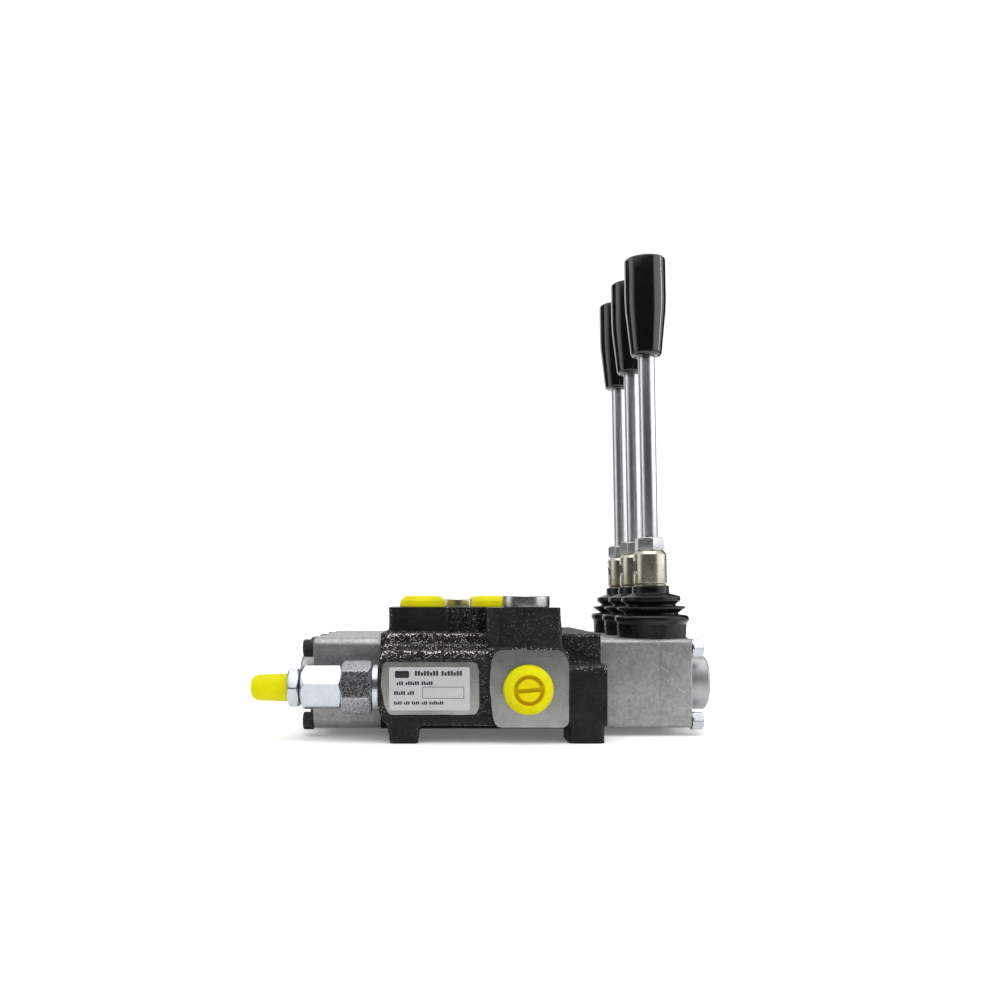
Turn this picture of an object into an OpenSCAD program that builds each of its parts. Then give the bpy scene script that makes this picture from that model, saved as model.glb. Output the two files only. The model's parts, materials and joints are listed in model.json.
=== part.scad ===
// Three-section manual monoblock directional control valve.
// X runs along the spools towards the levers, Y runs from the inlet face to the outlet face
// and Z is up. The origin is the centre of the four mounting holes, under the feet.

/* [Casting] */
// Length of the casting between its two machined spool faces
body_l = 104; // [104:0.5:108]
// Width of the casting from the inlet face to the outlet face
body_w = 150; // [150:0.5:154]
// Height of the machined face that the work ports open in
port_face_z = 61.6; // [61:0.2:64]
// Thread core radius of the mounting holes, M8
mount_hole_r = 3.4; // [3.3:0.05:3.4]
// Distance between the mounting holes along the spools
mount_dx = 84; // [84:0.5:86]
// Distance between the mounting holes across the sections
mount_dy = 130; // [130:0.5:132]

/* [Sections] */
// Distance from one spool axis to the next
section_pitch = 38; // [38:0.1:38.4]
// Distance from the origin back to the first spool axis
first_section = -32; // [-32:0.1:-31.6]
// Height of the spool axes
spool_z = 24.5; // [24.5:0.1:25]
// Radius of a spool
spool_r = 8; // [7.8:0.1:8.1]

/* [Levers] */
// Distance from the origin to the lever axes
lever_x = 80.9; // [80.4:0.1:81]
// Height of the lever pivot pins
pivot_z = 42; // [42:0.1:42.4]
// Lean of a lever in neutral, towards the spring caps
lever_lean = 1.05; // [0:0.05:1.5]
// Radius of a lever rod, M8
rod_r = 4; // [3.5:0.1:4]
// Height of the top of a knob above its pivot
lever_h = 191.4; // [180:0.2:200]
// Length of a knob
knob_l = 48.1; // [40:0.1:55]
// Radius of the straight top part of a knob
knob_r = 10; // [9:0.1:11]

/* [Plugs] */
// Radius of a port plug's head
plug_r = 11.4; // [10:0.1:11.4]
// Height of a port plug's head
plug_h = 5.5; // [5:0.1:7]

/* [Hidden] */
$fn = 48;

end_x = body_l / 2;
front_y = -body_w / 2;
back_y = body_w / 2;
sections = [1, 2, 3];
function section_y(i) = first_section + (i - 1) * section_pitch;
cap_w = 37;
cap_r = 2;
section_front = section_y(1) - cap_w / 2;
section_back = section_y(3) + cap_w / 2;
section_top = 49;
foot_h = 8;
gap = 0.05;

// Ports and galleries
port_a_x = -32.3;
port_b_x = 2.8;
inlet_x = 16.1;
core_x = (port_a_x + port_b_x) / 2;
tank_x = -43.5;
check_offset = section_pitch / 2;
port_r = 7.6;
spool_land_x = [tank_x, port_a_x, -23.6, core_x, -5.9, port_b_x, inlet_x];
gallery_y = front_y + 12;
inlet_plug_y = gallery_y + 0.5;
outlet_plug_y = back_y - 11.5;
gallery_plug_r = 11;
check_seat_z = 42;

// Relief valve
adapter_hex = 22;
bonnet_hex = 19;
lock_nut_hex = 17;
seal_washer_r = 10.7;
hex_turn = -11;
relief_bore_r = 5.5;
relief_seat_x = -39.5;
adapter_x = [-69, -54.7];
bonnet_x = -88.4;
lock_nut_x = -93.7;
relief_cap_x = -111.1;
spring_seat_x = -72;

// Spring caps and their screws
spring_cap_l = 32.3;
spring_cap_z = [3.5, 47];
boss_x = -end_x - 39.6;
boss_r = 13.5;
screw_dy = 14;
screw_dz = 17.4;
screw_r = 2.5;
screw_depth = 12;
stem_r = 3;
stem_seat_x = [-76, -74, -60.5, -58.5];

// Lever housings and levers
housing_l = 44.7;
housing_end = end_x + housing_l;
housing_z = [3.8, 46.5];
cavity_r = 12.5;
pin_r = 2.5;
pin_half = 10.7;
ball_r = 4;
arm_l = pivot_z - spool_z;
tongue_x = lever_x + arm_l * sin(lever_lean);
hub_z = [24, 31.3, 47.1];
side_hole_z = 38.6;
nut_h = 6.7;

// Outlines
function arc(c, r, a0, a1, steps = 6) =
    [for (k = [0:steps]) let (a = a0 + (a1 - a0) * k / steps) c + r * [cos(a), sin(a)]];
function rounded(a, b, r) = concat(
    arc([a[1] - r, b[1] - r], r, 0, 90),
    arc([a[0] + r, b[1] - r], r, 90, 180),
    arc([a[0] + r, b[0] + r], r, 180, 270),
    arc([a[1] - r, b[0] + r], r, 270, 360));

// Blocks with rounded edges along Z, X and Y, between the given pairs of coordinates
module block_z(x, y, z, r)
    translate([0, 0, z[0]]) linear_extrude(z[1] - z[0]) polygon(rounded(x, y, r));
module block_x(x, y, z, r)
    translate([x[0], 0, 0]) rotate([90, 0, 90]) linear_extrude(x[1] - x[0])
        polygon(rounded(y, z, r));
module block_y(x, y, z, r)
    translate([0, y[1], 0]) rotate([90, 0, 0]) linear_extrude(y[1] - y[0])
        polygon(rounded(x, z, r));

// Cylinders along X, Y and Z between two coordinates
module rod_x(x, y, z, r) translate([x[0], y, z]) rotate([0, 90, 0]) cylinder(h = x[1] - x[0], r = r);
module rod_y(x, y, z, r) translate([x, y[1], z]) rotate([90, 0, 0]) cylinder(h = y[1] - y[0], r = r);
module rod_z(x, y, z, r) translate([x, y, z[0]]) cylinder(h = z[1] - z[0], r = r);

// Hexagonal prism along Z, with its ends chamfered down to the width across flats
module hex_bar(across, h, top = true, bottom = true) {
    corner = across / 2 / cos(30);
    drop = (corner - across / 2) * 0.58;
    intersection() {
        cylinder(h = h, r = corner, $fn = 6);
        rotate_extrude() polygon([
            [0, 0], [bottom ? across / 2 : corner + 1, 0],
            [corner + 1, bottom ? drop + 0.58 : 0], [corner + 1, top ? h - drop - 0.58 : h],
            [top ? across / 2 : corner + 1, h], [0, h]]);
    }
}
module hex_socket(across, h) cylinder(h = h, r = across / 2 / cos(30), $fn = 6);

// Coil spring along Z between two heights
module coil(z, mean_r, wire_r, turns, steps = 16, sides = 6) {
    rings = turns * steps;
    rise = (z[1] - z[0] - 2 * wire_r) / rings;
    slope = atan(rise * steps / (2 * PI * mean_r));
    points = [for (k = [0:rings]) let (
            a = 360 * k / steps,
            out = [cos(a), sin(a), 0],
            up = [sin(slope) * sin(a), -sin(slope) * cos(a), cos(slope)],
            centre = mean_r * out + [0, 0, z[0] + wire_r + rise * k])
        for (s = [0:sides - 1])
            centre + wire_r * (cos(360 * s / sides) * out + sin(360 * s / sides) * up)];
    sides_faces = [for (k = [0:rings - 1], s = [0:sides - 1]) let (n = (s + 1) % sides)
        [k * sides + s, k * sides + n, (k + 1) * sides + n, (k + 1) * sides + s]];
    ends = [[for (s = [sides - 1:-1:0]) s], [for (s = [0:sides - 1]) rings * sides + s]];
    polyhedron(points, concat(sides_faces, ends), convexity = 4);
}

// Four screw positions of a spring cap or lever housing
module at_screws(i)
    for (y = [-screw_dy, screw_dy], z = [-screw_dz, screw_dz])
        translate([0, section_y(i) + y, spool_z + z]) children();

module at_lever(i)
    translate([lever_x, section_y(i), pivot_z]) rotate([0, -lever_lean, 0]) children();

// Block behind the inlet or outlet face, square with bulging sides
module port_face_block(y) {
    half = 17.7;
    bulge = 5;
    outline = [for (a = [0:7.5:359]) [for (t = [cos(a), sin(a)]) half * sign(t) * pow(abs(t), 2 / bulge)]];
    translate([inlet_x + 0.5, y[1], spool_z + 0.6]) rotate([90, 0, 0])
        linear_extrude(y[1] - y[0]) polygon(outline);
}

// Outside of the casting: section block, port blocks, inlet and outlet walls, ribs and feet
module casting() {
    block_x([-end_x, end_x], [section_front, section_back], [3.5, section_top], 2);
    block_z([-48.5, 22], [-50, back_y - 1], [section_top - 6, port_face_z], 3);
    // Inlet wall with the nameplate pad, the inlet face and the casting ribs
    block_x([-end_x, 35], [front_y + 1, section_front + 4], [foot_h, 41.6], 3);
    block_y([-50.2, -6.1], [front_y, front_y + 3], [13.5, 36.6], 3);
    port_face_block([front_y, section_front + 2]);
    block_z([-1.6, 30.8], [front_y + 0.5, section_front + 4], [36, port_face_z], 5);
    block_x([-50.5, 3], [-62, section_front + 4], [38, 44.4], 2);
    block_x([-50, -0.8], [-57, section_front + 4], [43.8, section_top], 2.3);
    block_x([28, end_x], [-55, section_front + 4], [30, section_top], 2.5);
    // Outlet wall
    block_x([-end_x, 35], [section_back - 4, back_y - 1], [foot_h, 42], 4);
    port_face_block([section_back - 2, back_y]);
    block_z([-1.6, 30.8], [outlet_plug_y - 12, back_y - 0.5], [36, port_face_z], 5);
    // Feet
    for (side = [-1, 1]) {
        wall = side < 0 ? [front_y + 1, section_front + 1] : [section_back - 1, back_y - 1];
        block_y([34.4, end_x], wall, [foot_h - 2, 34], 2);
        block_z([34.4, end_x - 0.8], wall, [0, foot_h], 2);
        block_z([-47.2, -32.6], wall, [0, foot_h + 1], 2);
    }
}

// Spool bores, seal recesses, spool chambers and the tapped holes of the end covers
module spool_bores()
    for (i = sections) {
        y = section_y(i);
        rod_x([-end_x - 1, end_x + 1], y, spool_z, spool_r + 0.04);
        for (side = [-1, 1]) translate([side * (end_x - 1.5), y, spool_z])
            rotate([0, 90, 0]) cylinder(h = 5, r = 11, center = true);
        for (x = spool_land_x)
            rod_x([x - 2.5, x + 2.5], y, spool_z, spool_r + 2);
        for (side = [-1, 1]) at_screws(i) translate([side * end_x, 0, 0])
            rotate([0, 90, 0]) cylinder(h = 2 * screw_depth + 2, r = screw_r + 0.1, center = true);
    }

// Ports with the passages that lead down to the spools
module ports() {
    for (i = sections) {
        for (x = [port_a_x, port_b_x]) {
            rod_z(x, section_y(i), [port_face_z - 12, port_face_z + 1], port_r);
            rod_z(x, section_y(i), [spool_z, port_face_z - 11], 5.5);
        }
        rod_z(core_x, section_y(i) + check_offset, [check_seat_z + 10, port_face_z + 1], port_r);
        rod_z(core_x, section_y(i) + check_offset, [check_seat_z, port_face_z - 5], 6);
        rod_z(core_x, section_y(i) + check_offset, [check_seat_z - 4, check_seat_z + 1], 4);
    }
    rod_z(inlet_x, inlet_plug_y, [port_face_z - 12, port_face_z + 1], port_r);
    rod_z(inlet_x, inlet_plug_y, [spool_z, port_face_z - 11], 6);
    rod_z(inlet_x, outlet_plug_y, [port_face_z - 12, port_face_z + 1], port_r);
    rod_z(inlet_x, outlet_plug_y, [spool_z, port_face_z - 11], 6);
    rod_y(inlet_x, [front_y - 1, front_y + 13], spool_z, port_r);
    rod_y(inlet_x, [back_y - 13, back_y + 1], spool_z, port_r);
}

// Relief cavity and the galleries that run across the sections
module galleries() {
    rod_x([-end_x - 1, -35.5], gallery_y, spool_z, 8.1);
    rod_x([-36, inlet_x], gallery_y, spool_z, 5.2);
    rod_x([core_x, inlet_x], gallery_y, 38, 3.2);
    rod_y(core_x, [gallery_y, section_y(3) + check_offset], 38, 3);
    rod_y(core_x, [gallery_y, back_y - 8], spool_z, 5);
    rod_y(core_x, [back_y - 9, back_y + 1], spool_z, 6.4);
    rod_y(tank_x, [gallery_y, back_y - 7], spool_z, 3.6);
    rod_y(inlet_x, [section_y(1) - 12, back_y - 12], spool_z, 4.8);
    rod_x([tank_x, inlet_x], back_y - 8, spool_z + 0.3, 3.8);
}

module mounting_holes()
    for (x = [-mount_dx / 2, mount_dx / 2], y = [-mount_dy / 2, mount_dy / 2])
        rod_z(x, y, [-1, 13], mount_hole_r);

module valve_body()
    color([0.16, 0.14, 0.13]) difference() {
        casting();
        spool_bores();
        ports();
        galleries();
        mounting_holes();
    }

module nameplate()
    color([0.78, 0.78, 0.76])
        block_y([-46.7, -10.3], [front_y - 0.3, front_y], [15.2, 34.7], 0.8);

// Relief valve cartridge, along X at the inlet end
module on_relief_axis(x) translate([x, gallery_y, spool_z]) rotate([0, 90, 0]) children();

module relief_seal_washer()
    color([0.5, 0.5, 0.5]) on_relief_axis(adapter_x[1]) difference() {
        cylinder(h = -end_x - adapter_x[1], r = seal_washer_r);
        translate([0, 0, -1]) cylinder(h = 5, r = 8.4);
    }

module relief_adapter()
    color([0.45, 0.45, 0.46]) difference() {
        union() {
            on_relief_axis(adapter_x[0]) rotate(hex_turn)
                hex_bar(adapter_hex, adapter_x[1] - adapter_x[0]);
            rod_x([adapter_x[1] - 1, -36], gallery_y, spool_z, 8);
        }
        rod_x([adapter_x[0] - 1, adapter_x[0] + 6], gallery_y, spool_z, 7);
        rod_x([adapter_x[0] + 5, relief_seat_x], gallery_y, spool_z, relief_bore_r);
        rod_x([relief_seat_x - 1, -35], gallery_y, spool_z, 3);
        rod_z(relief_seat_x - 1.7, gallery_y, [spool_z - 9, spool_z + 9], 1);
    }

module relief_bonnet()
    color([0.72, 0.75, 0.8]) difference() {
        union() {
            on_relief_axis(bonnet_x) rotate(30 + hex_turn)
                hex_bar(bonnet_hex, adapter_x[0] - bonnet_x);
            rod_x([adapter_x[0] - 1, adapter_x[0] + 5.6], gallery_y, spool_z, 6.9);
        }
        rod_x([-80, adapter_x[0] + 6], gallery_y, spool_z, relief_bore_r);
        rod_x([bonnet_x - 1, -79], gallery_y, spool_z, 4.15);
    }

module relief_lock_nut()
    color([0.7, 0.7, 0.72]) on_relief_axis(lock_nut_x) difference() {
        rotate(30) hex_bar(lock_nut_hex, bonnet_x - lock_nut_x);
        translate([0, 0, -1]) cylinder(h = 8, r = 4.15);
    }

module relief_cap()
    color([0.98, 0.78, 0.05]) on_relief_axis(relief_cap_x) difference() {
        rotate_extrude() polygon(concat([[0, 17.4], [0, 0]], arc([3.3, 2.6], 2.6, 270, 360), [[6.6, 17.4]]));
        translate([0, 0, 3]) cylinder(h = 20, r = 4.9);
    }

module relief_spring_seat()
    color([0.7, 0.7, 0.72])
        rod_x([spring_seat_x - 2.5, spring_seat_x], gallery_y, spool_z, relief_bore_r - gap);

module relief_spring()
    color([0.6, 0.6, 0.62]) on_relief_axis(0) coil([spring_seat_x, -49], 3.9, 0.8, 7);

// Poppet with a cone that closes the seat edge
module relief_poppet()
    color([0.6, 0.6, 0.62]) on_relief_axis(relief_seat_x) rotate_extrude() polygon([
        [0, -9.5], [relief_bore_r - gap, -9.5], [relief_bore_r - gap, -2.5], [1.5, 1.5], [0, 1.5]]);

module relief_adjuster()
    color([0.66, 0.66, 0.68]) difference() {
        union() {
            rod_x([-104, spring_seat_x - 5], gallery_y, spool_z, 4);
            rod_x([-78, spring_seat_x - 2.5], gallery_y, spool_z, 2.5);
        }
        on_relief_axis(-105) hex_socket(4, 5);
    }

// Threaded port plug standing on a face at z = 0, with a shallow recess and a driving slot
module port_plug() {
    recess_r = 6.7;
    difference() {
        rotate_extrude() polygon([[0, -9], [port_r - 0.2, -9], [port_r - 0.2, 0], [plug_r - 0.2, 0],
            [plug_r, 0.4], [plug_r - 0.7, plug_h - 1.5], [plug_r - 1.2, plug_h - 0.5],
            [plug_r - 2, plug_h], [0, plug_h]]);
        translate([0, 0, plug_h - 1.8]) cylinder(h = 3, r = recess_r);
        translate([-5.4, -1.1, plug_h - 4]) cube([10.8, 2.2, 4]);
    }
}

module inlet_port_plug()
    color([0.98, 0.76, 0.05])
        translate([inlet_x, front_y, spool_z]) rotate([90, 0, 0]) rotate(-3) port_plug();

module outlet_port_plug()
    color([0.98, 0.76, 0.05])
        translate([inlet_x, back_y, spool_z]) rotate([-90, 0, 0]) port_plug();

module work_port_plugs()
    color([0.98, 0.78, 0.05])
        for (i = sections, x = [port_a_x, port_b_x])
            translate([x, section_y(i), port_face_z]) rotate(20 * i) port_plug();

// Steel plug with a hexagon socket, standing on a face at z = 0
module steel_plug(head_r, head_h, shank_r, shank_l, across) {
    difference() {
        rotate_extrude() polygon([[0, -shank_l], [shank_r, -shank_l], [shank_r, 0], [head_r, 0],
            [head_r, head_h - 0.8], [head_r - 0.8, head_h], [0, head_h]]);
        translate([0, 0, head_h - 6]) hex_socket(across, 10);
    }
}

module gallery_plugs()
    color([0.62, 0.62, 0.63]) {
        for (y = [inlet_plug_y, outlet_plug_y]) translate([inlet_x, y, port_face_z])
            steel_plug(gallery_plug_r, plug_h - 0.2, port_r - 0.2, 9, 8);
        translate([core_x, back_y - 1, spool_z]) rotate([-90, 0, 0]) steel_plug(9, 4, 6.2, 6, 6);
    }

module load_check_plugs()
    color([0.55, 0.55, 0.56])
        for (i = sections) translate([core_x, section_y(i) + check_offset, port_face_z])
            steel_plug(8.4, 3.9, port_r - 0.2, 9.2, 6);

module load_check_springs()
    color([0.6, 0.6, 0.62])
        for (i = sections) translate([core_x, section_y(i) + check_offset, 0])
            coil([check_seat_z + 5, port_face_z - 9.2], 4, 0.45, 3);

module load_check_poppet(i)
    color([0.62, 0.62, 0.64])
        translate([core_x, section_y(i) + check_offset, check_seat_z]) rotate_extrude()
            polygon([[0, -2], [2, -2], [3.9, 0], [5.95, 0], [5.95, 5], [0, 5]]);

module spool_seals()
    color([0.08, 0.08, 0.08])
        for (i = sections, side = [-1, 1]) translate([side * (end_x - 2), section_y(i), spool_z])
            rotate([0, 90, 0]) difference() {
                cylinder(h = 3.6, r = 10.9, center = true);
                cylinder(h = 5, r = spool_r + gap, center = true);
            }

// Spring cap with its screw holes and the chamber of the centring spring
module spring_cap(i) {
    y = section_y(i);
    color([0.62, 0.62, 0.62]) difference() {
        union() {
            block_x([-end_x - spring_cap_l, -end_x], [y - cap_w / 2, y + cap_w / 2], spring_cap_z, 4.5);
            rod_x([boss_x, -end_x - 1], y, spool_z, boss_r);
        }
        rod_x([-88.5, -end_x + 1], y, spool_z, cavity_r);
        at_screws(i) translate([-end_x - spring_cap_l - 1, 0, 0]) rotate([0, 90, 0])
            cylinder(h = spring_cap_l + 2, r = screw_r + 0.25);
    }
}

module spring_cap_screws()
    color([0.05, 0.05, 0.05])
        for (i = sections) at_screws(i)
            translate([-end_x - spring_cap_l, 0, 0]) rotate([0, 90, 0]) difference() {
                union() {
                    translate([0, 0, -5]) cylinder(h = 5, r = 4.25);
                    cylinder(h = spring_cap_l + screw_depth - 1, r = screw_r);
                }
                translate([0, 0, -6]) hex_socket(4, 3.5);
            }

module lever_housing_screws()
    color([0.75, 0.75, 0.76])
        for (i = sections) at_screws(i)
            translate([end_x - screw_depth + 1, 0, 0]) rotate([0, 90, 0]) {
                length = housing_l + screw_depth - 1;
                cylinder(h = length, r = screw_r);
                translate([0, 0, length]) cylinder(h = 0.9, r = 4.8);
                translate([0, 0, length]) hex_bar(8, 5.6, bottom = false);
            }

// Spool with its necks, the tapped hole for the stem screw and the tongue that the lever moves
module spool(i)
    color([0.75, 0.76, 0.78]) translate([0, section_y(i), spool_z]) difference() {
        union() {
            rod_x([stem_seat_x[3], 70], 0, 0, spool_r);
            intersection() {
                union() {
                    translate([68, -6, -3]) cube([tongue_x - 68, 12, 6]);
                    rod_z(tongue_x, 0, [-3, 3], 6);
                }
                rod_x([67, 90], 0, 0, 6.5);
            }
        }
        for (x = [-37.9, -18, -11.5, 9.7]) rotate([0, 90, 0]) translate([0, 0, x]) difference() {
            cylinder(h = 5, r = spool_r + 1, center = true);
            cylinder(h = 6, r = 5.2, center = true);
        }
        rod_x([stem_seat_x[3] - 1, -44], 0, 0, stem_r + gap);
        rod_z(tongue_x, 0, [-4, 4], ball_r + 0.15);
    }

module stem_screw(i)
    color([0.3, 0.3, 0.3]) translate([0, section_y(i), spool_z]) difference() {
        union() {
            rod_x([stem_seat_x[0], -45], 0, 0, stem_r);
            rod_x([stem_seat_x[0] - 5, stem_seat_x[0]], 0, 0, 5);
        }
        translate([stem_seat_x[0] - 6, 0, 0]) rotate([0, 90, 0]) hex_socket(4, 4);
    }

module spring_seats(i)
    color([0.65, 0.65, 0.66]) translate([0, section_y(i), spool_z])
        for (k = [0, 2]) difference() {
            rod_x([stem_seat_x[k], stem_seat_x[k + 1]], 0, 0, 9.5);
            rod_x([stem_seat_x[k] - 1, stem_seat_x[k + 1] + 1], 0, 0, stem_r + 0.3);
        }

module centring_spring(i)
    color([0.6, 0.6, 0.62]) translate([0, section_y(i), spool_z]) rotate([0, 90, 0])
        coil([stem_seat_x[1], stem_seat_x[2]], 6.9, 1.1, 4);

// Lever housing, open inside for the spool tongue and above for the lever
module lever_housing(i) {
    y = section_y(i);
    color([0.6, 0.6, 0.6]) difference() {
        block_x([end_x, housing_end], [y - cap_w / 2, y + cap_w / 2], housing_z, cap_r);
        rod_x([end_x - 1, housing_end + 1], y, spool_z, cavity_r);
        block_z([lever_x - 13, lever_x + 13], [y - 8, y + 8], [spool_z, housing_z[1] + 1], 4);
        rod_y(lever_x, [y - pin_half - 0.1, y + pin_half + 0.1], pivot_z, pin_r + 0.03);
        at_screws(i) translate([end_x - 1, 0, 0]) rotate([0, 90, 0])
            cylinder(h = housing_l + 2, r = screw_r + 0.25);
    }
}

module lever_end_caps()
    color([0.7, 0.7, 0.71])
        for (i = sections) translate([housing_end, section_y(i), spool_z]) rotate([0, 90, 0])
            difference() {
                rotate_extrude() polygon([[0, -2.2], [cavity_r - gap, -2.2], [cavity_r - gap, 0],
                    [13.4, 0], [13.4, 9.2], [12.6, 10], [0, 10]]);
                translate([0, 0, 5]) hex_socket(12, 6);
            }

module lever_pivot_pins()
    color([0.7, 0.7, 0.72])
        for (i = sections) rod_y(lever_x, [section_y(i) - pin_half, section_y(i) + pin_half], pivot_z, pin_r);

// Rubber boot: a base that stands on the housing and two folds that follow the lever's lean
module boot(i) {
    base_z = housing_z[1] - pivot_z;
    color([0.04, 0.04, 0.04]) {
        translate([lever_x, section_y(i), pivot_z]) rotate_extrude() polygon([
            [17, base_z], [17, 11.2], [18, 11.9], [18, 14.6], [17.2, 15.2], [13.2, 15.3],
            [12, 13.9], [15.4, 13.9], [15.4, base_z]]);
        at_lever(i) rotate_extrude() polygon([
            [13.2, 15], [13.2, 16.2], [16.6, 18.8], [16.6, 19.6], [12.1, 20.4], [14.3, 22.6], [14.3, 24.4],
            [9, 26.2], [8.9, 29.8], [7.8, 29.8], [7.8, 25.8], [12, 23.6], [10.4, 20.6],
            [14.4, 19.2], [12, 15]]);
    }
}

// Steel lever: ball for the spool tongue, eye for the pivot pin and shaft for the hub
module lever_pivot(i)
    color([0.45, 0.45, 0.46]) at_lever(i) difference() {
        union() {
            translate([0, 0, -arm_l]) sphere(r = ball_r);
            rod_z(0, 0, [-arm_l + 1, -3], 2.5);
            rod_y(0, [-6, 6], 0, 5.4);
            rod_z(0, 0, [3, hub_z[0] + 10], 5);
        }
        rod_y(0, [-7, 7], 0, pin_r + 0.03);
    }

module lever_hub(i)
    color([0.72, 0.7, 0.6]) at_lever(i) difference() {
        rotate_extrude() polygon([[0, hub_z[0]], [7.5, hub_z[0]], [7.5, hub_z[1] - 0.6],
            [8, hub_z[1]], [8, hub_z[2] - 1], [7.2, hub_z[2]], [0, hub_z[2]]]);
        rod_z(0, 0, [hub_z[0] - 1, hub_z[0] + 10], 5.05);
        rod_z(0, 0, [side_hole_z + 3.9, hub_z[2] + 1], rod_r + gap);
        rod_x([-9, 1], 0, side_hole_z, mount_hole_r);
        translate([-8.4, 0, side_hole_z]) rotate([0, 90, 0]) cylinder(h = 1.2, r1 = 4.6, r2 = mount_hole_r);
    }

// Rod with its lock nut on top of the hub
module lever_rod(i)
    color([0.82, 0.83, 0.85]) at_lever(i) {
        rod_z(0, 0, [side_hole_z + 4.2, lever_h - knob_l + 16], rod_r);
        translate([0, 0, hub_z[2]]) hex_bar(13, nut_h);
    }

module knob(i)
    color([0.02, 0.02, 0.02]) at_lever(i) translate([0, 0, lever_h - knob_l]) difference() {
        rotate_extrude() polygon(concat([[0, 0]], arc([5.2, 2.3], 2.3, 270, 360),
            [[knob_r - 0.05, 26.7]], arc([knob_r - 1, knob_l - 1], 1, 0, 90, 3), [[0, knob_l]]));
        translate([0, 0, -1]) cylinder(h = 18, r = rod_r + gap);
    }

valve_body();
nameplate();
relief_seal_washer();
relief_adapter();
relief_bonnet();
relief_lock_nut();
relief_cap();
relief_spring();
relief_poppet();
relief_spring_seat();
relief_adjuster();
inlet_port_plug();
outlet_port_plug();
work_port_plugs();
gallery_plugs();
load_check_plugs();
load_check_springs();
lever_pivot_pins();
lever_end_caps();
spring_cap_screws();
lever_housing_screws();
spool_seals();
for (i = sections) {
    spring_cap(i);
    lever_housing(i);
    boot(i);
    load_check_poppet(i);
    spool(i);
    stem_screw(i);
    spring_seats(i);
    centring_spring(i);
    lever_pivot(i);
    lever_hub(i);
    lever_rod(i);
    knob(i);
}
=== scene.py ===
"""Looks of the three-section hydraulic monoblock valve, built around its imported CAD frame."""
import json
import math

import bmesh
import bpy
from mathutils import Matrix, Vector, noise

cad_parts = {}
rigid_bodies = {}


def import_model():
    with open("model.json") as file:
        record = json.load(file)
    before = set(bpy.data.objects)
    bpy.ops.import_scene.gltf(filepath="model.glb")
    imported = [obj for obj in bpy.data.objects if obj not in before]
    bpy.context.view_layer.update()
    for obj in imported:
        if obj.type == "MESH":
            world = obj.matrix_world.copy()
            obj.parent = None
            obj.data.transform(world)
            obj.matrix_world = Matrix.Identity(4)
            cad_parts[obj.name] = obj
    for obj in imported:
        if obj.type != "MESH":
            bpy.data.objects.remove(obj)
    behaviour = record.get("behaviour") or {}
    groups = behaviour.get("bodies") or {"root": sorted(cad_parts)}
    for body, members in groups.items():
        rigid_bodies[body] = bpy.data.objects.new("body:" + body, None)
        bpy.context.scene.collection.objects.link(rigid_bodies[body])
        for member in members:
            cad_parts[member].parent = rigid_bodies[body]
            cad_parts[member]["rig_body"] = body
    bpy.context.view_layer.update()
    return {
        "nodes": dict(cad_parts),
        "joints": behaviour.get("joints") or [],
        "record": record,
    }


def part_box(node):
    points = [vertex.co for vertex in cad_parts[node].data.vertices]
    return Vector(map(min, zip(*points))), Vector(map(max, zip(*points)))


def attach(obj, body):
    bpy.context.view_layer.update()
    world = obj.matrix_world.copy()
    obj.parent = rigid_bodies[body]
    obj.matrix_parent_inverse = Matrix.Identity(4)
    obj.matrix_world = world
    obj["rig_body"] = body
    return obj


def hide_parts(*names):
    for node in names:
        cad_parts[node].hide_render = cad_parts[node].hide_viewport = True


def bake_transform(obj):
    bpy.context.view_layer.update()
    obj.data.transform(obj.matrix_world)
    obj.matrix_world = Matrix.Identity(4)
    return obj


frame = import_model()

MM = 0.001
SECTIONS = (1, 2, 3)


# ------ places, in millimetres

def box_mm(node):
    """Lowest and highest corner of a CAD node, in millimetres."""
    low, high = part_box(node)
    return low / MM, high / MM


def middle(node):
    low, high = box_mm(node)
    return (low + high) / 2


BODY_LOW, BODY_HIGH = box_mm("valve_body")
END_X = BODY_HIGH.x
FRONT_Y, BACK_Y = BODY_LOW.y, BODY_HIGH.y
PORT_FACE_Z = BODY_HIGH.z
SPOOL_Z = middle("spool_1").z
SPOOL_R, CAVITY_R = 8, 12.4
SECTION_Y = {i: middle(f"spool_{i}").y for i in SECTIONS}
SECTION_FRONT = box_mm("lever_housing_1")[0].y
SECTION_BACK = box_mm("lever_housing_3")[1].y
INLET_X = middle("inlet_port_plug").x
PLUG_R = (box_mm("inlet_port_plug")[1].x - box_mm("inlet_port_plug")[0].x) / 2
PORT_A_X = box_mm("work_port_plugs")[0].x + PLUG_R
PORT_B_X = box_mm("work_port_plugs")[1].x - PLUG_R
CORE_X = middle("load_check_plugs").x
RELIEF = middle("relief_cap")
LEVER_JOINTS = {i: next(j for j in frame["joints"] if j["name"] == f"lever_tilt_{i}") for i in SECTIONS}
LEVER_LEAN = math.radians(1.05)


# ------ meshes

def place(origin, along="z", turn=0.0):
    """Matrix that puts a piece drawn along its own Z, in millimetres, at origin along an axis."""
    turns = {
        "z": Matrix.Identity(4),
        "-z": Matrix.Rotation(math.pi, 4, "X"),
        "x": Matrix.Rotation(math.pi / 2, 4, "Y"),
        "-x": Matrix.Rotation(-math.pi / 2, 4, "Y"),
        "y": Matrix.Rotation(-math.pi / 2, 4, "X"),
        "-y": Matrix.Rotation(math.pi / 2, 4, "X"),
    }
    return Matrix.Translation(origin) @ turns[along] @ Matrix.Rotation(math.radians(turn), 4, "Z")


def at_lever(i):
    """Matrix of a lever: its origin on the pivot pin, its Z along the leaning rod."""
    x, y, z = LEVER_JOINTS[i]["pos_m"]
    return Matrix.Translation(Vector((x, y, z)) / MM) @ Matrix.Rotation(-LEVER_LEAN, 4, "Y")


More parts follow.
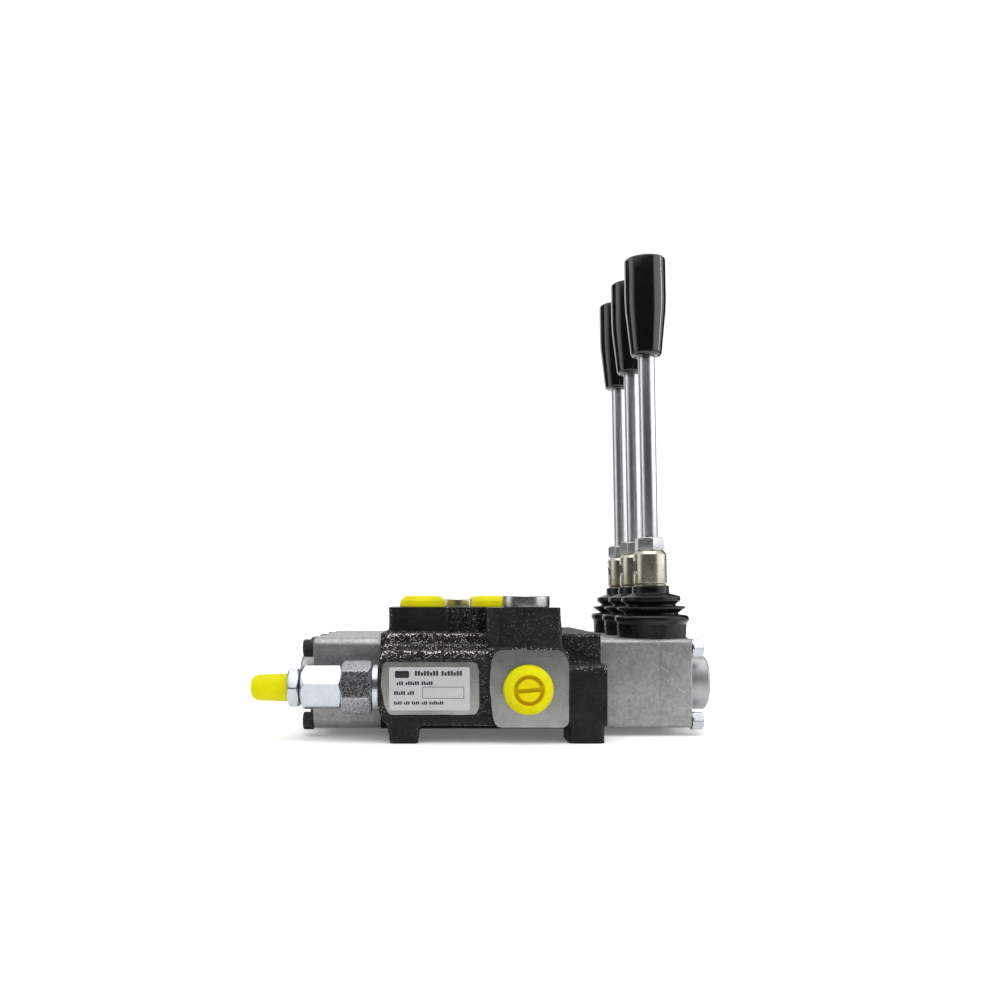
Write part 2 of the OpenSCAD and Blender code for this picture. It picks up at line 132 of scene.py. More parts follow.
def arc(centre, radius, start, end, steps=6):
    return [(centre[0] + radius * math.cos(math.radians(start + (end - start) * k / steps)),
             centre[1] + radius * math.sin(math.radians(start + (end - start) * k / steps)))
            for k in range(steps + 1)]


def rounded(points, radius, steps=3):
    """An open outline with its inner corners rounded, as far as their edges allow."""
    out = [points[0]]
    for before, corner, after in zip(points, points[1:], points[2:]):
        a, b, c = Vector(before), Vector(corner), Vector(after)
        to_a, to_c = (a - b), (c - b)
        if to_a.length < 1e-6 or to_c.length < 1e-6:
            continue
        half = to_a.angle(to_c) / 2
        reach = min(radius / max(math.tan(half), 1e-3), to_a.length * 0.45, to_c.length * 0.45)
        start, end = b + to_a.normalized() * reach, b + to_c.normalized() * reach
        for k in range(steps + 1):
            t = k / steps
            out.append(tuple((1 - t) ** 2 * start + 2 * t * (1 - t) * b + t * t * end))
    return out + [points[-1]]


def loft(rings, closed_start=True, closed_end=True):
    """Mesh through rings of equally many points, as (vertices, faces)."""
    count = len(rings[0])
    vertices = [tuple(p) for ring in rings for p in ring]
    faces = []
    for r in range(len(rings) - 1):
        for k in range(count):
            n = (k + 1) % count
            faces.append((r * count + k, r * count + n, (r + 1) * count + n, (r + 1) * count + k))
    for wanted, ring, start, flip in ((closed_start, rings[0], 0, True),
                                      (closed_end, rings[-1], (len(rings) - 1) * count, False)):
        if not wanted:
            continue
        centre = len(vertices)
        vertices.append(tuple(sum((Vector(p) for p in ring), Vector()) / count))
        for k in range(count):
            n = (k + 1) % count
            faces.append((start + n, start + k, centre) if flip else (start + k, start + n, centre))
    return vertices, faces


def circle(radius, z, count=72, ripple=0, depth=0.0):
    """Ring of points round Z, with an optional knurl of so many ridges."""
    ring = []
    for k in range(count):
        a = 2 * math.pi * k / count
        r = radius - (depth * (0.5 - 0.5 * math.cos(ripple * a)) if ripple else 0.0)
        ring.append((r * math.cos(a), r * math.sin(a), z))
    return ring


def turned(outline, count=72):
    """Mesh of a turned piece from its outline of (radius, height) pairs, from end to end."""
    closed_start, closed_end = outline[0][0] < 1e-6, outline[-1][0] < 1e-6
    inner = outline[1 if closed_start else 0:-1 if closed_end else None]
    return loft([circle(r, z, count) for r, z in inner], closed_start, closed_end)


def looped(rings):
    """Mesh through rings of equally many points, with the last ring joined to the first."""
    vertices, faces = loft(rings + [rings[0]], False, False)
    last = len(rings) * len(rings[0])
    return vertices[:last], [tuple(v - last if v >= last else v for v in f) for f in faces]


def tube(outline, count=72):
    """Mesh of a ring-shaped turned piece from a closed outline of (radius, height) pairs."""
    return looped([circle(r, z, count) for r, z in outline])


# Share of its true corners a hexagon keeps, the width of its broken edges, and the angle of an edge
# from which it is softened
CORNER_SHARE = 0.992
HEX_EDGE = 0.12
SOFTENED_ANGLE = math.radians(40)


def hexagon(across, height, chamfer_low=0.0, chamfer_high=0.0, hole=0.0, nose=()):
    """Hexagon bar along Z with turned chamfers, which leave the curved edges of a real nut.

    A nose of (radius, height) pairs is turned on the low end, as far as the flats.
    """
    flat, count = across / 2, 96
    corner = flat / math.cos(math.pi / 6) * CORNER_SHARE

    def reach(k):
        a = (2 * math.pi * k / count + math.pi / 6) % (math.pi / 3) - math.pi / 6
        return min(flat / math.cos(a), corner)

    def ring(z_at, radius_at):
        return [(radius_at(k) * math.cos(2 * math.pi * k / count),
                 radius_at(k) * math.sin(2 * math.pi * k / count), z_at(k)) for k in range(count)]

    slope = math.tan(math.radians(30))
    low_r, high_r = flat * (1 - chamfer_low), flat * (1 - chamfer_high)
    rings = []
    if hole:
        rings.append(ring(lambda k: 0.0, lambda k: hole))
    if nose:
        rings += [circle(r, z, count) for r, z in nose]
        rings.append(ring(lambda k: nose[-1][1] + (reach(k) - flat) * 1.1, reach))
    else:
        rings.append(ring(lambda k: 0.0, lambda k: low_r if chamfer_low else reach(k) - HEX_EDGE))
        rings.append(ring(lambda k: (reach(k) - low_r) * slope if chamfer_low else HEX_EDGE, reach))
    rings.append(ring(lambda k: height - ((reach(k) - high_r) * slope if chamfer_high else HEX_EDGE), reach))
    rings.append(ring(lambda k: height, lambda k: high_r if chamfer_high else reach(k) - HEX_EDGE))
    if hole:
        rings.append(ring(lambda k: height, lambda k: hole))
        return looped(rings)
    return loft(rings)


def rectangle(low, high, corner, inset):
    """Rounded rectangle between two (a, b) corners, as (a, b) pairs."""
    a0, b0 = low[0] + inset, low[1] + inset
    a1, b1 = high[0] - inset, high[1] - inset
    r = max(corner - inset, 0.05)
    corners = (a1 - r, b1 - r), (a0 + r, b1 - r), (a0 + r, b0 + r), (a1 - r, b0 + r)
    return [p for k, corner in enumerate(corners) for p in arc(corner, r, 90 * k, 90 * k + 90)]


def bar(length, low, high, corner, edge_start, edge_end):
    """Bar along Z with a rounded rectangular section and rounded end edges."""
    rings = []
    for edge, z, way in ((edge_start, 0.0, 1), (edge_end, length, -1)):
        end = []
        for a in (0, 30, 60, 90):
            inset = edge * (1 - math.sin(math.radians(a)))
            end.append([(p[0], p[1], z + way * edge * (1 - math.cos(math.radians(a))))
                        for p in rectangle(low, high, corner, inset)])
        rings += end if way > 0 else end[::-1]
    return loft(rings)


def moved(shape, matrix):
    vertices, faces = shape
    return [tuple(matrix @ Vector(v)) for v in vertices], faces


def joined(*shapes):
    vertices, faces = [], []
    for v, f in shapes:
        start = len(vertices)
        vertices += v
        faces += [tuple(i + start for i in face) for face in f]
    return vertices, faces


def added(name, data):
    """New object in the scene."""
    obj = bpy.data.objects.new(name, data)
    bpy.context.scene.collection.objects.link(obj)
    return obj


def as_object(name, shape):
    """Object from (vertices, faces) in millimetres, with outward normals."""
    mesh = bpy.data.meshes.new(name)
    mesh.from_pydata([Vector(v) * MM for v in shape[0]], [], shape[1])
    bm = bmesh.new()
    bm.from_mesh(mesh)
    bmesh.ops.remove_doubles(bm, verts=bm.verts, dist=1e-6)
    bmesh.ops.recalc_face_normals(bm, faces=bm.faces)
    bm.to_mesh(mesh)
    bm.free()
    return added(name, mesh)


def bake(obj):
    """Applies an object's modifiers to its mesh."""
    evaluated = obj.evaluated_get(bpy.context.evaluated_depsgraph_get())
    obj.data = bpy.data.meshes.new_from_object(evaluated)
    obj.modifiers.clear()
    obj.data.name = obj.name


def modify(obj, kind, **settings):
    modifier = obj.modifiers.new(kind, kind)
    for key, value in settings.items():
        setattr(modifier, key, value)


def cut(obj, shape, overlapping=False):
    """Cuts a closed shape, in millimetres, out of an object, which may be of overlapping solids."""
    tool = as_object(obj.name + "_cutter", shape)
    modify(obj, "BOOLEAN", object=tool, operation="DIFFERENCE", solver="EXACT", use_self=overlapping)
    bake(obj)
    bpy.data.objects.remove(tool)


def soften(obj, width):
    """Breaks the sharp edges that a cut left, with a small bevel."""
    modify(obj, "BEVEL", width=width * MM, segments=2, limit_method="ANGLE", angle_limit=SOFTENED_ANGLE)
    bake(obj)
    return obj


def show(obj, body, slot, *materials, nodes=(), angle=32):
    """Gives an object its materials, shading and body; its slot is not used."""
    for m in materials:
        obj.data.materials.append(m)
    obj.data.shade_smooth()
    obj.data.set_sharp_from_angle(angle=math.radians(angle))
    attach(obj, body)
    if nodes:
        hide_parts(*nodes)


# ------ materials

class Paint:
    """A node material in the making: colour, roughness and bump from procedural textures."""

    def __init__(self, name, colour, roughness=0.5, metallic=0.0, **sockets):
        self.material = bpy.data.materials.new(name)
        self.material.use_nodes = True
        self.tree = self.material.node_tree
        self.shader = self.tree.nodes["Principled BSDF"]
        self.set("Base Color", (*colour, 1))
        self.set("Roughness", roughness)
        self.set("Metallic", metallic)
        for socket, value in sockets.items():
            self.set(socket.replace("_", " "), value)
        self.place = self.node("ShaderNodeTexCoord").outputs["Object"]
        self.normal = None

    def set(self, socket, value):
        self.shader.inputs[socket].default_value = value

    def node(self, kind, inputs=(), **settings):
        """New node. Each of the given inputs takes a value or the output of another node."""
        made = self.tree.nodes.new(kind)
        for key, value in settings.items():
            setattr(made, key, value)
        for socket, value in dict(inputs).items():
            if isinstance(value, bpy.types.NodeSocket):
                self.link(value, made.inputs[socket])
            else:
                made.inputs[socket].default_value = value
        return made

    def link(self, source, target):
        self.tree.links.new(source, target)

    def stretched(self, stretch, tilt=0.0):
        """Object coordinates tilted about Y by so many degrees, then scaled along each axis."""
        inputs = {"Vector": self.place, "Rotation": (0, math.radians(tilt), 0),
                  "Scale": [1 / share for share in stretch]}
        return self.node("ShaderNodeMapping", inputs, vector_type="TEXTURE").outputs["Vector"]

    def noise(self, size, detail=3.0, rough=0.55, distort=0.0, stretch=None, tilt=0.0):
        """Noise with features of about the given size in millimetres."""
        return self.node("ShaderNodeTexNoise", {
            "Vector": self.stretched(stretch, tilt) if stretch else self.place, "Scale": 1 / (size * MM),
            "Detail": detail, "Roughness": rough, "Distortion": distort}).outputs["Fac"]

    def dots(self, size):
        """Cell pattern, for dots of about the given size in millimetres."""
        inputs = {"Vector": self.place, "Scale": 1 / (size * MM)}
        return self.node("ShaderNodeTexVoronoi", inputs).outputs["Distance"]

    def attribute(self, name):
        return self.node("ShaderNodeAttribute", attribute_name=name).outputs["Fac"]

    def span(self, source, low, high, out_low=0.0, out_high=1.0):
        """A value between low and high, spread between two others."""
        inputs = {"Value": source, "From Min": low, "From Max": high, "To Min": out_low, "To Max": out_high}
        return self.node("ShaderNodeMapRange", inputs).outputs["Result"]

    def times(self, a, b, operation="MULTIPLY"):
        return self.node("ShaderNodeMath", {0: a, 1: b}, operation=operation, use_clamp=True).outputs[0]

    def mix(self, share, first, second):
        """Colour between two colours or colour outputs."""
        ends = [(*end, 1) if isinstance(end, tuple) else end for end in (first, second)]
        inputs = {"Factor": share, 6: ends[0], 7: ends[1]}
        return self.node("ShaderNodeMix", inputs, data_type="RGBA").outputs[2]

    def bump(self, height, depth):
        """Adds relief of the given depth in millimetres."""
        inputs = {"Height": height, "Distance": depth * MM}
        if self.normal:
            inputs["Normal"] = self.normal
        self.normal = self.node("ShaderNodeBump", inputs).outputs["Normal"]
        self.link(self.normal, self.shader.inputs["Normal"])

    def colour(self, source):
        self.link(source, self.shader.inputs["Base Color"])

    def roughness(self, source):
        self.link(source, self.shader.inputs["Roughness"])


def cast_iron():
    """Dark painted sand casting, with painted glints: light dots where it is rough and along its convex
    edges.
    """
    paint = Paint("cast_iron", (0.010, 0.009, 0.007), 0.5, Specular_IOR_Level=0.2)
    rough, edge = paint.attribute("rough"), paint.attribute("edge")
    tone = paint.mix(paint.span(paint.noise(9, 4), 0.35, 0.7), (0.003, 0.0029, 0.0026),
                     (0.010, 0.0095, 0.0083))
    tone = paint.mix(paint.times(paint.span(paint.noise(2.2, 4, 0.7), 0.45, 0.7), rough), tone,
                     (0.040, 0.037, 0.032))
    # Painted glints: light dots where the skin is rough and along its convex edges, standing in for
    # highlights on the sand-cast surface
    rough_glints = paint.times(paint.span(paint.noise(2.6, 5, 0.75), 0.42, 0.66, 0, 0.20), rough)
    edge_glints = paint.times(paint.span(paint.noise(1.2, 4, 0.7), 0.34, 0.56, 0, 0.33), edge)
    reach = paint.times(rough_glints, edge_glints, "ADD")
    speckle = paint.span(paint.times(paint.dots(0.80), reach, "SUBTRACT"), 0.16, 0.10)
    speckle = paint.times(speckle, paint.span(rough, 0, 1, 0.05, 1))
    # The painted glints lighten the colour to a pale grey here
    paint.colour(paint.mix(speckle, tone, (0.72, 0.70, 0.65)))
    paint.roughness(paint.span(paint.noise(2.5, 3), 0.3, 0.7, 0.42, 0.65))
    paint.bump(paint.times(paint.noise(0.8, 4, 0.65), paint.span(rough, 0, 1, 0.1, 1)), 0.6)
    paint.bump(paint.noise(0.5, 2, 0.5, stretch=(0.08, 0.5, 1.0)), 0.04)
    return paint.material


def machined_iron():
    """Fine milled face of the casting."""
    paint = Paint("machined_iron", (0.36, 0.36, 0.35), 0.3, 0.92)
    lines = paint.noise(1.2, 3, 0.6, stretch=(0.05, 1.0, 1.0))
    paint.colour(paint.mix(paint.span(paint.noise(9, 4), 0.3, 0.75), (0.25, 0.25, 0.235), (0.37, 0.37, 0.36)))
    paint.roughness(paint.span(lines, 0.3, 0.7, 0.26, 0.30))
    paint.bump(lines, 0.0025)
    return paint.material


def die_cast():
    """Satin die-cast aluminium, mottled and brushed, with small pits and a few slanting scratches."""
    tone = 0.30
    paint = Paint("die_cast_aluminium", (tone, tone, tone), 0.42, 0.8)

    def grey(share):
        return tuple(tone * share * tint for tint in (0.99, 1.0, 1.01))

    mottle = paint.times(paint.span(paint.noise(8, 5, 0.6), 0.25, 0.75, 0, 0.5),
                         paint.span(paint.noise(2.0, 5, 0.7), 0.3, 0.7, 0, 0.5), "ADD")
    base = paint.mix(mottle, grey(0.66), grey(1.32))
    brushed = paint.span(paint.noise(0.6, 2, 0.5, stretch=(1, 1, 0.06)), 0.60, 0.72, 0, 0.35)
    base = paint.mix(brushed, base, grey(1.5))
    scratch = paint.times(paint.span(paint.noise(1.0, 1, 0.5, 0.2, (0.03, 0.5, 1.2), 35), 0.64, 0.67),
                          paint.span(paint.noise(11, 2), 0.5, 0.55))
    base = paint.mix(paint.times(scratch, 0.45), base, grey(2.0))
    pits = paint.span(paint.noise(1.1, 2, 0.5), 0.29, 0.26)
    paint.colour(paint.mix(paint.times(pits, 0.7), base, grey(0.25)))
    paint.roughness(paint.span(paint.noise(2.4, 5, 0.7), 0.3, 0.75, 0.36, 0.56))
    paint.bump(paint.noise(1.4, 5, 0.65), 0.08)
    return paint.material


def turned_metal(name, colour, roughness=0.25, metallic=0.95, blotch=0.15, line=0.012, stretch=(1, 1, 8)):
    """Turned or drawn metal, with fine marks round the axis and slight blotches."""
    paint = Paint(name, colour, roughness, metallic)
    dark = tuple(c * (1 - blotch) for c in colour)
    light = tuple(min(1, c * (1 + blotch)) for c in colour)
    paint.colour(paint.mix(paint.span(paint.noise(5, 4), 0.3, 0.7), dark, light))
    marks = paint.noise(1.0, 3, 0.6, stretch=stretch)
    paint.roughness(paint.span(marks, 0.3, 0.7, roughness * 0.8, roughness * 1.25))
    paint.bump(marks, line)
    return paint.material


def speckled_zinc():
    """Coarse zinc-plated steel of the relief adapter."""
    paint = Paint("speckled_zinc", (0.5, 0.5, 0.5), 0.35, 0.9)
    speckle = paint.span(paint.noise(0.7, 3, 0.7), 0.42, 0.6)
    paint.colour(paint.mix(speckle, (0.20, 0.20, 0.22), (0.52, 0.52, 0.53)))
    paint.roughness(paint.span(speckle, 0, 1, 0.18, 0.38))
    paint.bump(paint.noise(0.6, 3, 0.6), 0.08)
    return paint.material


def yellow_plastic():
    """Moulded plastic of the plugs and the cap, with painted shade: darker and oranger inside their recesses.
    """
    paint = Paint("yellow_plastic", (0.55, 0.52, 0.001), 0.42, Specular_IOR_Level=0.08,
                  Subsurface_Weight=0.1, Subsurface_Scale=0.003)
    bright = paint.mix(paint.span(paint.noise(6, 3), 0.3, 0.7), (0.52, 0.48, 0.001), (0.60, 0.57, 0.002))
    # Painted shade: a deeper orange towards the floor of the recesses, by the recess attribute
    paint.colour(paint.mix(paint.attribute("deep"), bright, (0.66, 0.47, 0.0)))
    paint.roughness(paint.span(paint.noise(2, 3), 0.3, 0.7, 0.36, 0.50))
    paint.bump(paint.noise(1.5, 3), 0.015)
    return paint.material


def rubber():
    """Satin moulded rubber of the boots."""
    paint = Paint("boot_rubber", (0.008, 0.008, 0.009), 0.34, Specular_IOR_Level=0.3)
    paint.colour(paint.mix(paint.span(paint.noise(5, 4), 0.3, 0.7), (0.002, 0.002, 0.0025),
                           (0.006, 0.006, 0.0065)))
    paint.roughness(paint.span(paint.noise(2.2, 4), 0.3, 0.7, 0.22, 0.38))
    paint.bump(paint.noise(0.9, 3), 0.03)
    return paint.material


def knob_plastic():
    """Glossy black plastic of the knobs."""
    paint = Paint("knob_plastic", (0.004, 0.004, 0.004), 0.12, Coat_Weight=0.3, Coat_Roughness=0.06)
    paint.roughness(paint.span(paint.noise(4, 4), 0.3, 0.7, 0.10, 0.2))
    paint.bump(paint.noise(3, 2), 0.012)
    return paint.material


def black_oxide():
    """Oiled black steel of the socket screws."""
    paint = Paint("black_oxide", (0.012, 0.012, 0.012), 0.3, 0.6)
    paint.colour(paint.mix(paint.span(paint.noise(1.2, 3), 0.4, 0.75), (0.008, 0.008, 0.008),
                           (0.045, 0.045, 0.045)))
    paint.bump(paint.noise(0.5, 2), 0.02)
    return paint.material


def foil(name, colour, roughness):
    """Printed foil of the nameplate."""
    paint = Paint(name, colour, roughness, 0.1)
    dark = tuple(c * 0.9 for c in colour)
    paint.colour(paint.mix(paint.span(paint.noise(7, 3), 0.3, 0.7), dark, colour))
    paint.bump(paint.noise(4, 2), 0.02)
    return paint.material


CAST_IRON = cast_iron()
MACHINED_IRON = machined_iron()
DIE_CAST = die_cast()
MACHINED_ALUMINIUM = turned_metal("machined_aluminium", (0.38, 0.38, 0.385), 0.46, blotch=0.1)
SPECKLED_ZINC = speckled_zinc()
BRIGHT_ZINC = turned_metal("bright_zinc", (0.47, 0.50, 0.535), 0.28, blotch=0.06)
STEEL = turned_metal("bright_steel", (0.49, 0.50, 0.50), 0.34)
PLUG_STEEL = turned_metal("plug_steel", (0.42, 0.43, 0.41), 0.27, blotch=0.08)
ZINC_CAST = turned_metal("zinc_cast", (0.50, 0.48, 0.41), 0.3, blotch=0.12, stretch=(2, 2, 1))
CHROME = turned_metal("chromed_steel", (0.62, 0.64, 0.66), 0.32, 1.0, blotch=0.08, line=0.006)
SPRING_STEEL = turned_metal("spring_steel", (0.35, 0.35, 0.36), 0.35)
YELLOW = yellow_plastic()
RUBBER = rubber()
KNOB = knob_plastic()
BLACK_OXIDE = black_oxide()
LABEL = foil("label_foil", (0.42, 0.42, 0.43), 0.35)
PRINT = foil("label_print", (0.012, 0.012, 0.014), 0.4)


# ------ casting

# Machining allowance, voxel size, and the depth of the fine and the wide relief of the skin
CUT, VOXEL = 4.0, 0.75
FINE_RELIEF, WIDE_RELIEF = 0.2, 0.16
# How convex the skin is where its painted edge glints begin, and the span to their full strength
EDGE_START, EDGE_SPAN = 0.015, 0.06
INNER_FRONT, INNER_BACK = SECTION_FRONT + 5, SECTION_BACK - 5
SKIN_FRONT, SKIN_BACK = FRONT_Y + 1.2, BACK_Y - 1.2

# Outlines as (x, z): the inlet and outlet walls, the nameplate pad, the inlet face and the rib
WALL = [(-49.6, 41.9), (35, 41.9), (35, 7.9), (-47.2, 7.9), (-50.4, 11), (-52.8, 19), (-52.8, 32),
        (-51, 38.5)]
PAD = [(-49.3, 36.8), (-7.6, 36.8), (-6.3, 33), (-6, 17), (-7.4, 13.4), (-46.6, 13.4), (-48.7, 17.5),
       (-50.4, 27)]
PORT_FACE = [(1.2, 42.0), (31.5, 42.0), (34.4, 37), (34.4, 9.3), (32.6, 7.4), (2, 7.4), (0.2, 12), (-1.2, 26),
             (-0.6, 36)]
RIDGE = [(-49.4, 43.6), (-49.4, 46.6), (-47.6, 49.3), (-0.8, 49.3), (-0.8, 43.6)]


def block(x, y, z, radius, shrink_low=0.0):
    """Block with rounded edges, narrower along X at its bottom."""
    bm = bmesh.new()
    bmesh.ops.create_cube(bm, size=1)
    for v in bm.verts:
        shrink = shrink_low if v.co.z < 0 else 0
        v.co = Vector(((x[0] + x[1]) / 2 + v.co.x * (x[1] - x[0] - 2 * shrink),
                       (y[0] + y[1]) / 2 + v.co.y * (y[1] - y[0]),
                       z[0] + (v.co.z + 0.5) * (z[1] - z[0])))
    bmesh.ops.bevel(bm, geom=bm.edges[:], offset=radius, segments=4, affect="EDGES", profile=0.5)
    bm.verts.index_update()
    shape = [tuple(v.co) for v in bm.verts], [tuple(v.index for v in f.verts) for f in bm.faces]
    bm.free()
    return shape


def slab(outline, y, radius):
    """Plate along Y with a rounded outline of (x, z) corners."""
    ring = rounded(outline[-1:] + outline + outline[:1], radius, 5)[1:-1]
    return loft([[(x, at, z) for x, z in ring] for at in y])


def upright(low, high, y, z):
    """The block that joins an inlet or outlet face to the port face, with one well-rounded edge."""
    front, back = y
    rings = []
    for at, shift in ((z[0], 1.6), (z[1], 0.0)):
        way = 1 if front < back else -1
        corner = arc((low + 5, front + way * 5), 5, 180, 180 + way * 90, 6)
        corner += arc((high + shift - 2, front + way * 2), 2, 180 + way * 90, 180 + way * 180, 4)
        ring = [(low, back)] + corner + [(high + shift, back)]
        rings.append([(px, py, at) for px, py in ring])
    return loft(rings)


def casting_shape():
    """The casting before machining: every machined face still has its allowance."""
    end, top = END_X + CUT, PORT_FACE_Z + CUT
    shapes = [
        block((-end, end), (SECTION_FRONT, SECTION_BACK), (3.5, 49), 2),
        # Port block, the bosses round the front work ports and the hollow between them
        block((-48.5, 22), (-46, BACK_Y - 1), (40, top), 3),
        block((-47.7, -19.6), (-50, -20), (44, top), 2.6, shrink_low=-0.8),
        block((-12.6, -4), (-49, -20), (44, top), 2.4),
        # Inlet wall, nameplate pad, inlet face and the block above it
        slab(WALL, (SKIN_FRONT, INNER_FRONT), 3),
        slab(PAD, (FRONT_Y - CUT, FRONT_Y + 5), 1.6),
        slab(PORT_FACE, (FRONT_Y - CUT, INNER_FRONT), 4.2),
        upright(-1.6, 30.8, (FRONT_Y + 0.6, INNER_FRONT), (34, top)),
        # Casting ribs
        block((-50.4, 0), (-64, INNER_FRONT), (37, 44.4), 1.6),
        slab(RIDGE, (-58, INNER_FRONT), 3.2),
        # Flange and lug at the lever end
        block((27, end), (-55, INNER_FRONT), (28, 49), 1.6),
        block((34.8, end), (SKIN_FRONT - 0.2, INNER_FRONT), (7.6, 35.2), 2.4),
        # Outlet wall
        slab(WALL, (INNER_BACK, SKIN_BACK), 3),
        slab(PORT_FACE, (INNER_BACK, BACK_Y + CUT), 3.4),
        upright(-1.6, 30.8, (BACK_Y - 0.6, INNER_BACK - 4), (34, top)),
        block((34.8, end), (INNER_BACK, SKIN_BACK), (7.6, 35.2), 2.4),
    ]
    for wall in ((SKIN_FRONT - 0.2, SECTION_FRONT + 1), (SECTION_BACK - 1, SKIN_BACK)):
        shapes.append(block((34.8, 51), wall, (-CUT, 12), 2.6))
        shapes.append(block((-48.2, -32.2), wall, (-CUT, 12), 1.2, shrink_low=2.2))
    return joined(*shapes)


def cast_roughness(x, y, z):
    """How rough the casting is at a point, in millimetres: 0 for smooth walls, 1 for sand-cast ones."""
    inlet_side, outlet_side = y < SECTION_FRONT + 1, y > SECTION_BACK - 1
    if x < -19.6 and z > 50 and inlet_side:  # boss of work port A
        return 0.05
    if -12.4 < x < -4.2 and z > 50 and inlet_side:  # boss of work port B
        return 0.25
    if x > 34.6 and z < 32.5 and (inlet_side or outlet_side):  # lugs at the lever end
        return 0.05
    if z < 13:  # feet and lower edge
        return 0.1
    if -1.5 < x < 32.5 and z > 43.5 and inlet_side:  # block above the inlet face
        return 0.2
    if x > 27 and inlet_side:  # flange at the lever end
        return 0.5
    if z < 41 and x < 34.6 and inlet_side:  # inlet wall, rougher towards its top edge
        return 0.45 if z < 38 else 0.8
    return 1.0 if inlet_side else 0.6


def edge_strength(bm):
    """How convex the surface is at each vertex, smoothed, from 0 to 1."""
    raw = []
    for v in bm.verts:
        around = [e.other_vert(v).co for e in v.link_edges]
        mean = sum(around, Vector()) / len(around)
        raw.append((v.co - mean).dot(v.normal) / MM)
    for _ in range(3):
        raw = [(raw[v.index] + sum(raw[e.other_vert(v).index] for e in v.link_edges))
               / (1 + len(v.link_edges)) for v in bm.verts]
    return [min(max((value - EDGE_START) / EDGE_SPAN, 0), 1) for value in raw]


def casting():
    """Casting by voxel remesh of its blocks, roughened, then machined flat by plane cuts."""
    obj = as_object("casting", casting_shape())
    modify(obj, "REMESH", mode="VOXEL", voxel_size=VOXEL * MM)
    modify(obj, "SMOOTH", factor=0.5, iterations=4)
    bake(obj)
    bm = bmesh.new()
    bm.from_mesh(obj.data)
    bm.normal_update()
    bm.verts.index_update()
    rough = bm.verts.layers.float.new("rough")
    # How convex the skin is, which sets where the material paints glints along the edges
    edge = bm.verts.layers.float.new("edge")
    shifts = []
    for v, convex in zip(bm.verts, edge_strength(bm)):
        place_mm = v.co / MM
        v[rough] = cast_roughness(*place_mm)
        v[edge] = convex
        fine = noise.noise(place_mm * 0.8) + 0.7 * noise.noise(place_mm * 1.7)
        wide = noise.noise(place_mm * 0.12)
        shifts.append(v.normal * (FINE_RELIEF * fine * v[rough] + WIDE_RELIEF * wide) * MM)
    for v, shift in zip(bm.verts, shifts):
        v.co += shift
    machine(bm)
    bm.to_mesh(obj.data)
    bm.free()
    drill(obj)
    obj.data.name = "casting"
    show(obj, "housing", "cast_iron", CAST_IRON, MACHINED_IRON, nodes=["valve_body"], angle=40)
    sharpen_rims(obj)


def sharpen_rims(obj):
    """Keeps the shading of machined faces apart from the cast skin round them."""
    bm = bmesh.new()
    bm.from_mesh(obj.data)
    for e in bm.edges:
        if len({f.material_index for f in e.link_faces}) > 1:
            e.smooth = False
    bm.to_mesh(obj.data)
    bm.free()


def bore(i, radius, start_x, end_x):
    """Cylinder on the axis of a spool, to cut with."""
    length = end_x - start_x
    return moved(turned([(0, 0), (radius, 0), (radius, length), (0, length)], 48),
                 place((start_x, SECTION_Y[i], SPOOL_Z), "x"))


def machine(bm):
    """Cuts the machined faces flat. Their faces take the second material."""
    planes = [((0, 0, PORT_FACE_Z), (0, 0, 1)), ((0, 0, 0), (0, 0, -1)),
              ((END_X, 0, 0), (1, 0, 0)), ((-END_X, 0, 0), (-1, 0, 0)),
              ((0, FRONT_Y, 0), (0, -1, 0)), ((0, BACK_Y, 0), (0, 1, 0))]
    for point, normal in planes:
        cut_geometry = bmesh.ops.bisect_plane(
            bm, geom=bm.verts[:] + bm.edges[:] + bm.faces[:], dist=1e-7,
            plane_co=Vector(point) * MM, plane_no=normal, clear_outer=True)["geom_cut"]
        rim = [e for e in cut_geometry if isinstance(e, bmesh.types.BMEdge)]
        filled = bmesh.ops.triangle_fill(bm, edges=rim, use_beauty=True, normal=normal)["geom"]
        for f in filled:
            if isinstance(f, bmesh.types.BMFace):
                f.material_index = 1


def drill(obj):
    """The spool bores, and the four threaded mounting holes from the mount in the record."""
    mount = next(m for m in frame["record"]["mounts"] if m["name"] == "mounting_holes")
    dims = mount["dims"]
    r, depth, chamfer = dims["hole_r_mm"], 13, 1.6
    drills = []
    for sx in (-1, 1):
        for sy in (-1, 1):
            at = (sx * dims["spacing_x_mm"] / 2, sy * dims["spacing_y_mm"] / 2, -1)
            outline = [(0, 0), (r + chamfer, 0), (r, chamfer), (r, depth), (0, depth + 1.5)]
            drills.append(moved(turned(outline, 32), place(at)))
    drills += [bore(i, SPOOL_R + 0.1, -END_X - 1, END_X + 1) for i in SECTIONS]
    cut(obj, joined(*drills))


casting()


# ------ nameplate

